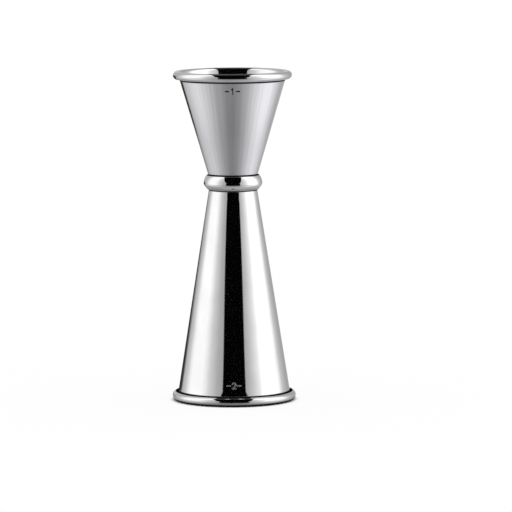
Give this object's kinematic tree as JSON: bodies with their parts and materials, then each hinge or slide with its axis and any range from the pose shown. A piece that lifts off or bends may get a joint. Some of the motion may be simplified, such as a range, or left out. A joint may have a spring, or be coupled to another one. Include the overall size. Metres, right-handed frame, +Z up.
{
  "type": "bar jigger",
  "caption": "Double cone jigger: a small measuring cup over a large one, joined at a ringed waist, both with rolled rims.",
  "frame": {"origin": "centre of the circle on which the large cup's rolled rim stands", "axes": "+Z up along the jigger's axis to the small cup's open mouth; -Y is the side with the capacity marks"},
  "size_m": [0.0483, 0.0482, 0.129],
  "materials": {
    "satin_steel": "satin outside, polished inside and on the rolled rim",
    "polished_steel": "mirror polish",
    "polished_ring": "mirror polish",
    "silver_braze": "as brazed, hidden under the ring"
  },
  "bodies": {
    "root": {"small_cup": "satin_steel", "large_cup": "polished_steel", "waist_ring": "polished_ring", "waist_braze": "silver_braze"}
  },
  "joints": []
}
